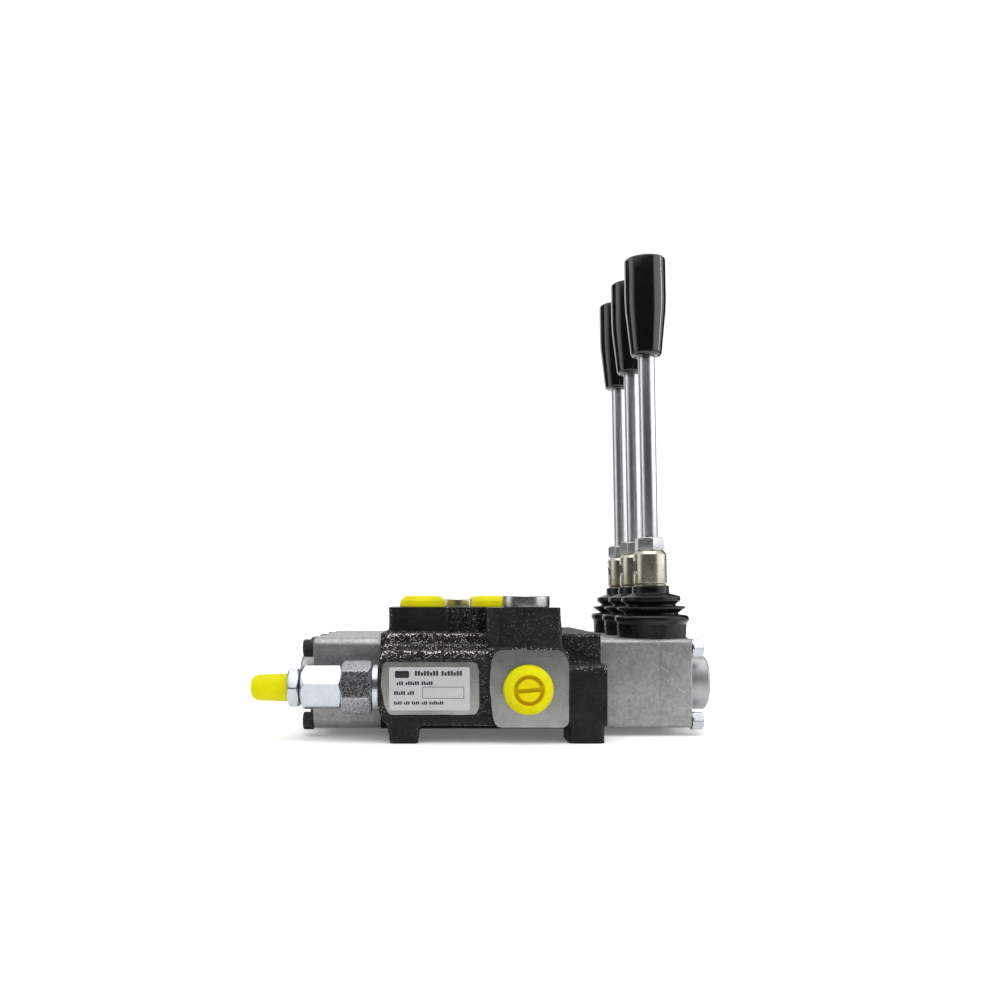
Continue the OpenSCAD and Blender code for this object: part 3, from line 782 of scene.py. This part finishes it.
def nameplate():
    """Foil plate with a blank header, generic line marks and an empty field."""
    low, high = box_mm("nameplate")
    depth = high.y - low.y
    wide, tall = high.x - low.x, high.z - low.z
    centre = ((low.x + high.x) / 2, high.y, (low.z + high.z) / 2)
    plate = as_object("nameplate_foil", moved(
        bar(depth * 0.8, (-wide / 2, -tall / 2), (wide / 2, tall / 2), 0.8, 0.02, 0.05), place(centre, "-y")))
    show(plate, "housing", "label", LABEL, nodes=["nameplate"])

    def mark(x, z, w, h):
        """Printed bar, given from the plate's lower left corner."""
        return moved(bar(depth * 0.15, (x - wide / 2, z - tall / 2), (x + w - wide / 2, z + h - tall / 2),
                         min(w, h) * 0.2, 0.01, 0.01),
                     place((centre[0], high.y - depth * 0.8, centre[2]), "-y"))

    marks = [mark(2.6, 14.6, 6.4, 3.2)]
    for x, z, h, words in ((11.6, 15.6, 2.2, (8, 7)), (3.4, 11.4, 1.7, (3, 6, 5)), (2.2, 7.0, 1.7, (5, 3)),
                           (2.2, 2.6, 1.5, (4, 3, 4, 3, 7))):
        step = h * 0.62
        for count in words:
            for k in range(count):
                low_bar = (k * 5 + count) % 3 == 0
                marks.append(mark(x, z, step * 0.74, h * (0.72 if low_bar else 1)))
                x += step
            x += step * 0.8
    field_x, field_z, field_w, field_h, line = 15.0, 5.4, 18.6, 5.0, 0.22
    marks += [mark(field_x, field_z, field_w, line), mark(field_x, field_z + field_h, field_w, line),
              mark(field_x, field_z, line, field_h), mark(field_x + field_w, field_z, line, field_h + line)]
    show(as_object("nameplate_print", joined(*marks)), "housing", "label", PRINT)


nameplate()


# ------ relief valve

def relief_valve():
    """Relief cartridge: seal washer, adapter, bonnet, lock nut and yellow cap along one axis."""
    y, z = RELIEF.y, RELIEF.z
    washer_low, washer_high = box_mm("relief_seal_washer")
    adapter_low = box_mm("relief_adapter")[0]
    bonnet_low = box_mm("relief_bonnet")[0]
    nut_low = box_mm("relief_lock_nut")[0]
    cap_low = box_mm("relief_cap")[0]
    washer_r = (washer_high.z - washer_low.z) / 2
    at = lambda x, turn=0.0: place((x, y, z), "x", turn)

    washer = as_object("relief_washer_ring", moved(tube(rounded(
        [(8.4, 0), (washer_r, 0), (washer_r, 2.7), (8.4, 2.7), (8.4, 0)], 0.35)[:-1]), at(washer_low.x)))
    show(washer, "housing", "zinc_plate", BRIGHT_ZINC, nodes=["relief_seal_washer"])
    adapter = as_object("relief_adapter_hexagon", moved(
        hexagon(22, washer_low.x - adapter_low.x, 0.02, 0.10, hole=7.2), at(adapter_low.x, 19)))
    show(soften(adapter, 0.12), "housing", "zinc_plate", SPECKLED_ZINC, nodes=["relief_adapter"], angle=25)
    bonnet = as_object("relief_bonnet_hexagon", moved(
        hexagon(19, adapter_low.x - bonnet_low.x, 0, 0.006, hole=4.2,
                nose=((6.2, 0), (8.6, 0.6), (9.5, 1.3))), at(bonnet_low.x, 48)))
    show(soften(bonnet, 0.2), "housing", "bright_steel", BRIGHT_ZINC, nodes=["relief_bonnet"], angle=25)
    nut = as_object("relief_lock_nut_hexagon", moved(
        hexagon(17, bonnet_low.x - nut_low.x, 0.05, 0.05, hole=4.2), at(nut_low.x)))
    show(soften(nut, 0.15), "housing", "zinc_plate", BRIGHT_ZINC, nodes=["relief_lock_nut"], angle=25)
    length = nut_low.x - cap_low.x
    nose = [(2.8 + 3.3 * math.sin(math.radians(a)), 4.3 * (1 - math.cos(math.radians(a))))
            for a in range(0, 91, 10)]
    outline = [(0, 0), *nose, (6.55, length), (5.2, length), (5.2, 5), (0, 5)]
    cap = as_object("relief_cap_shell", moved(turned(outline), at(cap_low.x)))
    show(cap, "housing", "yellow_plastic", YELLOW, nodes=["relief_cap"])


relief_valve()


# ------ plugs

def half_moon(radius, gap, height):
    """Half of a low disc beside a slot."""
    start = math.degrees(math.asin(gap / radius))
    outline = arc((0, 0), radius, start, 180 - start, 16)
    inner = [(x * 0.93, y * 0.93 + gap * 0.1) for x, y in outline]
    return loft([[(x, y, z) for x, y in ring] for ring, z in
                 ((outline, -0.5), (outline, height - 0.5), (inner, height))])


# How much painted shade the half moons get, from 0 for the rim to 1 for the floor of the recess
MOON_SHADE = 0.35
RECESS_R = 6.95


def plastic_plug():
    """Moulded port plug on a face at z = 0, with a recess, two half moons and the slot between them."""
    r, h = PLUG_R, PORT_PLUG_H
    floor = h - 3.4
    outline = [(0, -8), (7.6, -8), (7.6, 0), (r - 0.1, 0), (r, 0.6), (r - 0.35, 3.0), (r - 1.9, h - 0.7),
               (8.1, h), (7.3, h), (6.9, h - 0.4), (6.6, floor), (0, floor)]
    moons = [moved(half_moon(5.3, 0.95, 2.5), place((0, 0, floor), "z", turn)) for turn in (0, 180)]
    plug = as_object("plug_form", joined(turned(rounded(outline, 1.1, 4)), *moons))
    # Painted shade: recess points get a deeper tone towards the floor, and the half moons get part of it
    deep = plug.data.attributes.new("deep", "FLOAT", "POINT")
    for v, value in zip(plug.data.vertices, deep.data):
        place_mm = v.co / MM
        inside = Vector(place_mm[:2]).length < RECESS_R and place_mm.z > floor - 0.1
        value.value = min(max((h - 1.0 - place_mm.z) / 1.6, MOON_SHADE), 1) if inside else 0.0
    return plug


def metal_plug(name, radius, height, socket):
    """Turned plug on a face at z = 0, with a hexagon socket."""
    outline = [(0, -6), (radius * 0.6, -6), (radius * 0.6, 0), (radius, 0), (radius, height), (0, height)]
    plug = as_object(name, turned(rounded(outline, 0.7, 4), 96))
    cut(plug, moved(hexagon(socket, 5), place((0, 0, height - 3.5))))
    return plug


def spread(form, name, places, material, slot, node=None):
    """Copies of a form at several places, as one piece of separate solids."""
    vertices = [v.co / MM for v in form.data.vertices]
    faces = [tuple(p.vertices) for p in form.data.polygons]
    piece = as_object(name, joined(*[moved((vertices, faces), m) for m in places]))
    # Carries the painted recess shade over to the copies
    if "deep" in form.data.attributes:
        values = [value.value for value in form.data.attributes["deep"].data] * len(places)
        piece.data.attributes.new("deep", "FLOAT", "POINT").data.foreach_set("value", values)
    show(piece, "housing", slot, material, nodes=[node] if node else ())


PORT_PLUG_H = box_mm("work_port_plugs")[1].z - PORT_FACE_Z


def plugs():
    """Plastic plugs in the ports, and steel plugs over the load checks and the galleries."""
    form = plastic_plug()
    tops = [place((x, SECTION_Y[i], PORT_FACE_Z), "z", 20 * i)
            for i in SECTIONS for x in (PORT_A_X, PORT_B_X)]
    inlet, outlet = place((INLET_X, FRONT_Y, SPOOL_Z), "-y", 5), place((INLET_X, BACK_Y, SPOOL_Z), "y")
    for name, places, node in (("work_port_transit_plugs", tops, "work_port_plugs"),
                               ("inlet_transit_plug", [inlet], "inlet_port_plug"),
                               ("outlet_transit_plug", [outlet], "outlet_port_plug")):
        spread(form, name, places, YELLOW, "yellow_plastic", node)
    low, high = box_mm("load_check_plugs")
    radius = (high.x - low.x) / 2
    offset = low.y + radius - SECTION_Y[1]
    form = metal_plug("check_form", radius, high.z - PORT_FACE_Z, 6)
    heads = [place((CORE_X, SECTION_Y[i] + offset, PORT_FACE_Z)) for i in SECTIONS]
    spread(form, "load_check_plug_heads", heads, ZINC_CAST, "bright_steel", "load_check_plugs")
    high = box_mm("gallery_plugs")[1]
    radius = high.x - INLET_X
    form = metal_plug("gallery_form", radius, high.z - PORT_FACE_Z, 8)
    ends = [place((INLET_X, y, PORT_FACE_Z)) for y in (FRONT_Y + 12.5, BACK_Y - 11.5)]
    spread(form, "gallery_plug_heads", ends, PLUG_STEEL, "bright_steel", "gallery_plugs")
    form = metal_plug("carry_over_form", 9, high.y - BACK_Y + 1, 6)
    spread(form, "carry_over_plug_head", [place((CORE_X, BACK_Y - 1, SPOOL_Z), "y")], PLUG_STEEL,
           "bright_steel")


plugs()


# ------ end covers

SCREW_DY, SCREW_DZ = 14, 17.4


def screw_places(x):
    """Where the four cover screws of each section sit, each turned its own way about X."""
    return [place((x, SECTION_Y[i] + sy * SCREW_DY, SPOOL_Z + sz * SCREW_DZ), "x",
                  17 * (k // 2) + 23 * (i - 1))
            for i in SECTIONS for k, (sy, sz) in enumerate(((-1, -1), (-1, 1), (1, -1), (1, 1)))]


def spring_caps():
    """Die-cast caps over the centring springs, with their socket head screws."""
    for i in SECTIONS:
        low, high = box_mm(f"spring_cap_{i}")
        y, z = SECTION_Y[i], SPOOL_Z
        face_x = box_mm("spring_cap_screws")[0].x + 5
        half = (high.y - low.y) / 2 - 0.15
        shell = bar(high.x - face_x, (low.z - z, -half), (high.z - z, half), 4.6, 0.8, 0.1)
        shell = moved(shell, place((face_x, y, z), "x") @ Matrix.Scale(-1, 4, (1, 0, 0)))
        boss_l = face_x - low.x
        boss = moved(turned([(0, 0), *arc((12.2, 1.3), 1.3, 270, 360, 4), (13.6, boss_l - 1.2),
                             (14.8, boss_l + 0.4), (0, boss_l + 0.5)]), place((low.x, y, z), "x"))
        cap = as_object(f"spring_cap_shell_{i}", joined(shell, boss))
        cut(cap, bore(i, CAVITY_R, low.x + 3.1, high.x + 1), overlapping=True)
        show(cap, "housing", "die_cast_aluminium", DIE_CAST, nodes=[f"spring_cap_{i}"])
    low = box_mm("spring_cap_screws")[0]
    head = joined(loft([circle(r, z, 144, 36, d) for r, z, d in (
        (3.6, 0, 0), (4.05, 0.25, 0), (4.25, 0.7, 0.22), (4.25, 4.3, 0.22), (4.1, 5, 0))]))
    form = as_object("socket_form", head)
    cut(form, moved(hexagon(4, 5), place((0, 0, -2))))
    spread(form, "socket_screw_heads", screw_places(low.x), BLACK_OXIDE, "black_steel",
           "spring_cap_screws")


# Where the thicker inner part of a lever housing ends, and half the mouth of its well under the boot
HOUSING_STEP_X, WELL_X, WELL_Y = 80.8, 13, 8


def lever_housings():
    """Die-cast housings under the levers, with their end caps and hexagon screws."""
    for i in SECTIONS:
        low, high = box_mm(f"lever_housing_{i}")
        y, z = SECTION_Y[i], SPOOL_Z
        half = (high.y - low.y) / 2 - 0.15
        to_yz = lambda x: place((x, y, z), "x") @ Matrix.Scale(-1, 4, (1, 0, 0))
        inner = moved(bar(HOUSING_STEP_X - low.x, (low.z - z, -half), (high.z - z, half), 3.0, 0.1, 0.2),
                      to_yz(low.x))
        outer = moved(bar(high.x - HOUSING_STEP_X + 1, (low.z - z, -half + 0.2), (high.z - z, half - 0.2),
                          3.0, 0.1, 0.9), to_yz(HOUSING_STEP_X - 1))
        shell = as_object(f"lever_housing_shell_{i}", joined(inner, outer))
        cut(shell, bore(i, CAVITY_R, low.x - 1, high.x + 1), overlapping=True)
        well = bar(high.z + 1 - z, (-WELL_X, -WELL_Y), (WELL_X, WELL_Y), 3, 0.05, 0.05)
        cut(shell, moved(well, place((LEVER_JOINTS[i]["pos_m"][0] / MM, y, z))))
        show(shell, "housing", "die_cast_aluminium", DIE_CAST, nodes=[f"lever_housing_{i}"])
    low, high = box_mm("lever_end_caps")
    face_x = box_mm("lever_housing_1")[1].x
    length = high.x - face_x
    outline = [(0, -2), (12.4, -2), (12.4, 0.4), (13.4, 0.4), (13.4, length - 1), (12.4, length), (0, length)]
    form = as_object("end_cap_form", turned(rounded(outline, 0.4, 4), 96))
    cut(form, moved(hexagon(12, 8), place((0, 0, length - 5))))
    spread(form, "lever_end_cap_discs", [place((face_x, SECTION_Y[i], SPOOL_Z), "x") for i in SECTIONS],
           MACHINED_ALUMINIUM, "machined_aluminium", "lever_end_caps")
    head = joined(turned(rounded([(0, 0), (4.5, 0), (4.5, 0.8), (0, 0.8)], 0.2)),
                  moved(hexagon(8, 4.8, 0, 0.08), place((0, 0, 0.8))))
    form = as_object("hexagon_form", head)
    spread(form, "hexagon_screw_heads", screw_places(face_x), BRIGHT_ZINC, "bright_steel",
           "lever_housing_screws")


spring_caps()
lever_housings()
for form in [obj for obj in bpy.data.objects if obj.name.endswith("_form")]:
    bpy.data.objects.remove(form)


# ------ levers

# Heights above the pivot: the hub's low end, its shoulder, its top and the hole in its side
HUB_LOW, HUB_STEP, HUB_TOP, SIDE_HOLE = 24, 31.3, 47.1, 38.6
ROD_R, NUT_H, KNOB_R, KNOB_L = 4, 6.7, 10, 48.1
NUT_TURN = {1: 0, 2: 22, 3: 26}

# Radius and height above the housing: base, lip, two folds and the collar, then back down inside
BOOT_OUTLINE = [(16.5, 0), (16.8, 6.8), (17.5, 7.8), (17.95, 8.6), (17.95, 10.0), (17.2, 10.9), (13.1, 11.4),
                (13.1, 12.1), (16.55, 14.2), (16.55, 15.1), (12.0, 15.6), (12.0, 16.4), (14.25, 17.9),
                (14.25, 20.1), (9.0, 21.7), (8.9, 25.2), (8.5, 25.5), (7.9, 25.4), (7.9, 21.2), (12.4, 19.6),
                (12.4, 18.4), (10.3, 16.4), (10.4, 15.2), (14.2, 14.6), (11.4, 12.2), (11.4, 10.4),
                (15.2, 9.4), (15.2, 0)]


# Heights above a boot's base: where it starts to lean, and where it has the lever's whole tilt
BOOT_BEND, BOOT_COLLAR = 10.6, 21.7


def boots():
    """Rubber boots: straight base, two folds and a collar that follow the lever."""
    for i in SECTIONS:
        base = box_mm(f"boot_{i}")[0].z - LEVER_JOINTS[i]["pos_m"][2] / MM
        outline = [(r, base + h) for r, h in BOOT_OUTLINE]
        smooth = rounded(outline + outline[:1], 0.7, 5)
        boot = as_object(f"rubber_boot_{i}", tube(smooth[1:], 96))
        lean = at_lever(i)
        straight = Matrix.Translation(lean.translation)
        for v in boot.data.vertices:
            place_mm = v.co / MM
            share = min(max((place_mm.z - base - BOOT_BEND + 0.2) / 2, 0), 1)
            v.co = (straight @ place_mm).lerp(lean @ place_mm, share) * MM
        show(boot, "housing", "boot_rubber", RUBBER, nodes=[f"boot_{i}"], angle=60)
        boot.parent = None
        del boot["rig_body"]
        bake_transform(boot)


def levers():
    """Hub, rod, lock nut and knob of each lever."""
    for i in SECTIONS:
        lean = at_lever(i)
        body = f"lever_{i}"
        outline = [(0, HUB_LOW), (7.5, HUB_LOW), (7.5, HUB_STEP - 0.7), (8, HUB_STEP),
                   (8, HUB_TOP - 1.7), (6.9, HUB_TOP), (0, HUB_TOP)]
        hub = as_object(f"hub_casting_{i}", moved(turned(rounded(outline, 0.4), 96), lean))
        side = lean @ place((0, 0, SIDE_HOLE), "-x")
        cut(hub, moved(turned([(0, -1), (3.5, -1), (3.5, 7.1), (4.2, 8.1), (4.2, 9), (0, 9)], 48), side))
        show(soften(hub, 0.12), body, "zinc_cast", ZINC_CAST, nodes=[f"lever_hub_{i}"])
        thread = tube([(3.55 if k % 2 else 3.2, 0.2 + 0.6 * k) for k in range(12)]
                      + [(3.8, 6.8), (3.8, 0.2)], 48)
        show(as_object(f"hub_thread_{i}", moved(thread, side)), body, "zinc_cast", STEEL)

        pivot_z = LEVER_JOINTS[i]["pos_m"][2] / MM
        rod_top = box_mm(f"lever_rod_{i}")[1].z - pivot_z
        nut = moved(hexagon(13, NUT_H, 0.06, 0.06, hole=ROD_R + 0.05),
                    lean @ place((0, 0, HUB_TOP), "z", NUT_TURN[i]))
        outline = [(0, HUB_TOP - 2), (ROD_R, HUB_TOP - 2), (ROD_R, rod_top), (0, rod_top)]
        rod = moved(turned(rounded(outline, 0.3), 64), lean)
        show(as_object(f"rod_{i}", rod), body, "chromed_steel", CHROME, nodes=[f"lever_rod_{i}"])
        show(soften(as_object(f"rod_nut_{i}", nut), 0.12), body, "chromed_steel", STEEL, angle=25)

        knob_top = box_mm(f"knob_{i}")[1].z - pivot_z
        low = (knob_top - KNOB_R * math.sin(LEVER_LEAN)) / math.cos(LEVER_LEAN) - KNOB_L
        outline = [(0, 2), (4.05, 2), (4.05, 0), *arc((5.4, 2.2), 2.2, 270, 352, 6), (8.75, 13), (9.72, 22),
                   (9.95, 26.7), (KNOB_R, 29), *arc((8.9, KNOB_L - 1.1), 1.1, 0, 80, 5), (0, KNOB_L)]
        outline = [(r, z + low) for r, z in outline]
        knob = as_object(f"knob_grip_{i}", moved(turned(outline, 96), lean))
        show(knob, body, "knob_plastic", KNOB, nodes=[f"knob_{i}"], angle=40)


boots()
levers()


# ------ pieces kept from the CAD

KEPT = {
    "relief_spring": SPRING_STEEL, "relief_poppet": STEEL, "relief_spring_seat": STEEL,
    "relief_adjuster": STEEL, "load_check_springs": SPRING_STEEL, "lever_pivot_pins": STEEL,
    "spool_seals": RUBBER, "load_check_poppet": STEEL, "spool": CHROME, "stem_screw": BLACK_OXIDE,
    "spring_seats": STEEL, "centring_spring": SPRING_STEEL, "lever_pivot": STEEL,
}


def keep_cad_pieces():
    """Gives each CAD node that stays in the picture its material."""
    for name, node in frame["nodes"].items():
        if node.hide_render:
            continue
        stem = name.rsplit("_", 1)[0] if name[-1].isdigit() else name
        node.data.materials.clear()
        node.data.materials.append(KEPT[stem])


keep_cad_pieces()


# ------ floor, light and camera

def stage_floor():
    """White paper that curves up behind the object."""
    paint = Paint("paper", (0.9, 0.9, 0.9), 0.9, Emission_Color=(1, 1, 1, 1), Emission_Strength=0.12)
    paint.bump(paint.noise(3, 2), 0.01)
    width, front, back, radius = 6000, -3000, 1600, 900
    curve = [(back + radius * math.sin(math.radians(a)), radius * (1 - math.cos(math.radians(a))))
             for a in range(0, 91, 6)]
    side = [(front, 0), *curve, (back + radius, 4000)]
    vertices = [(x, y, z - 0.02) for x in (-width / 2, width / 2) for y, z in side]
    count = len(side)
    faces = [(k, k + 1, count + k + 1, count + k) for k in range(count - 1)]
    paper = added("paper", bpy.data.meshes.new("paper"))
    paper.data.from_pydata([Vector(v) * MM for v in vertices], [], faces)
    paper.data.materials.append(paint.material)
    paper.data.shade_smooth()


def softbox(name, at, size, power):
    """Rectangular light, in metres and watts, aimed at the middle of the object."""
    data = bpy.data.lights.new(name, "AREA")
    data.shape = "RECTANGLE"
    data.size, data.size_y = size
    data.energy = power
    light = added(name, data)
    light.location = at
    light.rotation_euler = (Vector(at) - Vector((0, 0, 0.06))).to_track_quat("Z", "Y").to_euler()


def dark_cards():
    """Dark cloth round the table, seen only in reflections, with bright openings to both sides."""
    paint = Paint("dark_cloth", (0.006, 0.006, 0.007), 0.95, Specular_IOR_Level=0.1)
    paint.bump(paint.noise(3, 2), 0.01)
    wall, tall = 560, 500
    table = [(330, 4), (330, 1)]
    screen = [(wall + 4, 1), (wall + 4, tall), (wall, tall), (wall, 4)]
    floor = [(600, 4), (600, 1), (1150, 1), (1150, 4)]
    for name, start, end, outline in (
            ("front", -70, 45, table + screen), ("back_right", 108, 153, screen),
            ("back_left", -153, -108, screen), ("floor_right", 45, 108, floor),
            ("floor_left", -108, -70, floor)):
        rings = []
        for step in range(13):
            a = math.radians(start + (end - start) * step / 12)
            rings.append([(-20 + r * math.sin(a), -r * math.cos(a), z) for r, z in outline])
        card = as_object(f"dark_card_{name}", loft(rings))
        card.data.materials.append(paint.material)
        for kind in ("camera", "diffuse", "shadow", "transmission"):
            setattr(card, f"visible_{kind}", False)


def light_tent():
    """White surroundings, soft light from above and both sides, and a strip for a crisp highlight."""
    world = bpy.data.worlds.new("tent")
    world.use_nodes = True
    world.node_tree.nodes["Background"].inputs["Color"].default_value = (1, 1, 1, 1)
    world.node_tree.nodes["Background"].inputs["Strength"].default_value = 1.0
    bpy.context.scene.world = world
    bpy.context.scene.view_settings.view_transform = "Standard"
    softbox("top_light", (0, -0.2, 1.2), (1.2, 1.4), 9.5)
    softbox("left_light", (-1.2, 0.3, 0.5), (0.8, 1.0), 2)
    softbox("right_light", (1.1, -0.6, 0.5), (0.8, 1.0), 2.4)
    softbox("strip_light", (1.2, 0.0, 0.45), (0.12, 0.6), 1.8)


def camera():
    """Level camera in front of the inlet face, a little to the spring cap side."""
    data = bpy.data.cameras.new("camera")
    data.sensor_width = 36
    data.lens = 35.42
    data.shift_x, data.shift_y = 0.059, 0.1
    data.clip_start = 0.01
    view = added("camera", data)
    view.location = (-0.0233, -0.519, 0.065)
    view.rotation_euler = (math.pi / 2, 0, 0)
    bpy.context.scene.camera = view


stage_floor()
dark_cards()
light_tent()
camera()
